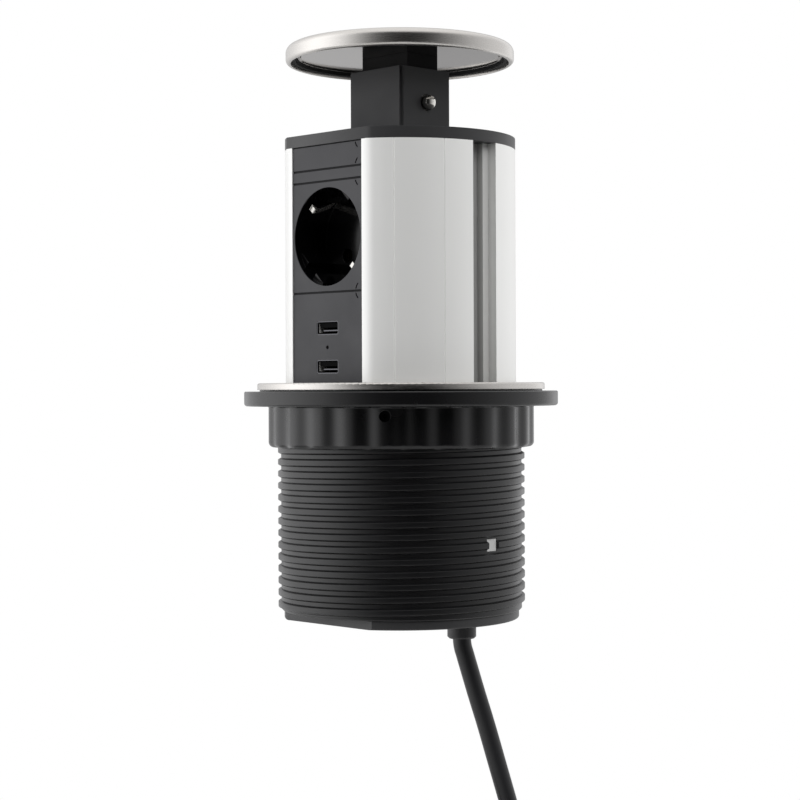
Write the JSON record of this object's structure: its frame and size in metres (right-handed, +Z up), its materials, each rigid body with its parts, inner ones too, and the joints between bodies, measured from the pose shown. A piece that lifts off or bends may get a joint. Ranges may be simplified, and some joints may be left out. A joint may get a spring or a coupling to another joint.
{
  "type": "built-in pop-up power tower",
  "caption": "Round pop-up power tower with earthed socket and charging ports, lifting out of a threaded sleeve with ring, flange nut, lid and mains lead.",
  "frame": {"origin": "on the sleeve's axis, in the worktop's top surface, which is the underside of the sleeve's flange", "axes": "+Z up along the tower, -Y out of the socket face, +X to the release button side"},
  "size_m": [0.1332, 0.1332, 0.4866],
  "materials": {
    "black_plastic": "moulded, satin",
    "panel_plastic": "moulded, fine matt",
    "neck_plastic": "moulded, satin",
    "gloss_black": "polished",
    "pale_plastic": "moulded, matt",
    "brushed_steel": "brushed",
    "steel": "plated",
    "chrome": "polished",
    "brass": "plain",
    "anodised_aluminium": "anodised, satin",
    "polished_steel": "polished",
    "seal_rubber": "matt",
    "board": "lacquered",
    "lead_jacket": "satin",
    "tie_fabric": "hook and loop strap"
  },
  "bodies": {
    "housing": {"threaded_sleeve": "black_plastic", "trim_ring": "brushed_steel"},
    "clamp_washer": {"slip_washer": "black_plastic"},
    "clamp_nut": {"flange_nut": "black_plastic", "nut_lock_screw": "steel"},
    "release_button": {"release_button": "chrome"},
    "push_rod": {"push_rod": "pale_plastic"},
    "latch": {"latch_slider": "pale_plastic"},
    "tower": {"tower_profile": "anodised_aluminium", "top_cap": "panel_plastic", "bottom_cap": "black_plastic", "cap_screws": "steel", "upper_blank": "panel_plastic", "spacer_strip": "gloss_black", "socket_plate": "panel_plastic", "socket_cup": "gloss_black", "earth_contact": "steel", "live_contact": "brass", "neutral_contact": "brass", "socket_rear_cover": "black_plastic", "charger_plate": "panel_plastic", "port_shells": "steel", "port_tongues": "pale_plastic", "charger_board": "board", "indicator_lens": "pale_plastic", "lower_blank": "panel_plastic", "neck": "neck_plastic", "lid_stem": "gloss_black", "lid_shell": "brushed_steel", "lid_backplate": "polished_steel", "lid_seal": "seal_rubber", "latch_guide": "black_plastic", "return_spring": "steel", "cord_gland": "black_plastic", "gland_nut": "steel", "terminal_block": "pale_plastic", "cord_lead": "lead_jacket", "cord_coil": "lead_jacket", "cord_tie": "tie_fabric", "plug_relief": "lead_jacket", "plug_body": "gloss_black", "plug_pins": "chrome"}
  },
  "joints": [
    {"name": "nut_travel", "type": "slide", "parent": "housing", "child": "clamp_washer", "axis": [0, 0, 1], "range_m": [-0.06, 0]},
    {"name": "nut_turn", "type": "hinge", "parent": "clamp_washer", "child": "clamp_nut", "pos_m": [0, 0, 0], "axis": [0, 0, 1], "range_deg": [-4320, 0]},
    {"name": "tower_lift", "type": "slide", "parent": "housing", "child": "tower", "axis": [0, 0, 1], "range_m": [-0.1426, 0]},
    {"name": "button_press", "type": "slide", "parent": "tower", "child": "release_button", "axis": [-1, 0, 0], "range_m": [0, 0.003], "stiffness_N_per_m": 600, "springref_m": -0.001},
    {"name": "rod_travel", "type": "slide", "parent": "tower", "child": "push_rod", "axis": [0, 0, -1], "range_m": [0, 0.003], "deforming": ["return_spring"]},
    {"name": "latch_travel", "type": "slide", "parent": "tower", "child": "latch", "axis": [-1, 0, 0], "range_m": [0, 0.003]}
  ],
  "couplings": [
    {"joint": "nut_turn", "follows": "nut_travel", "rad_per_m": 1256.6},
    {"joint": "rod_travel", "follows": "button_press", "ratio": 1},
    {"joint": "latch_travel", "follows": "button_press", "ratio": 1}
  ]
}
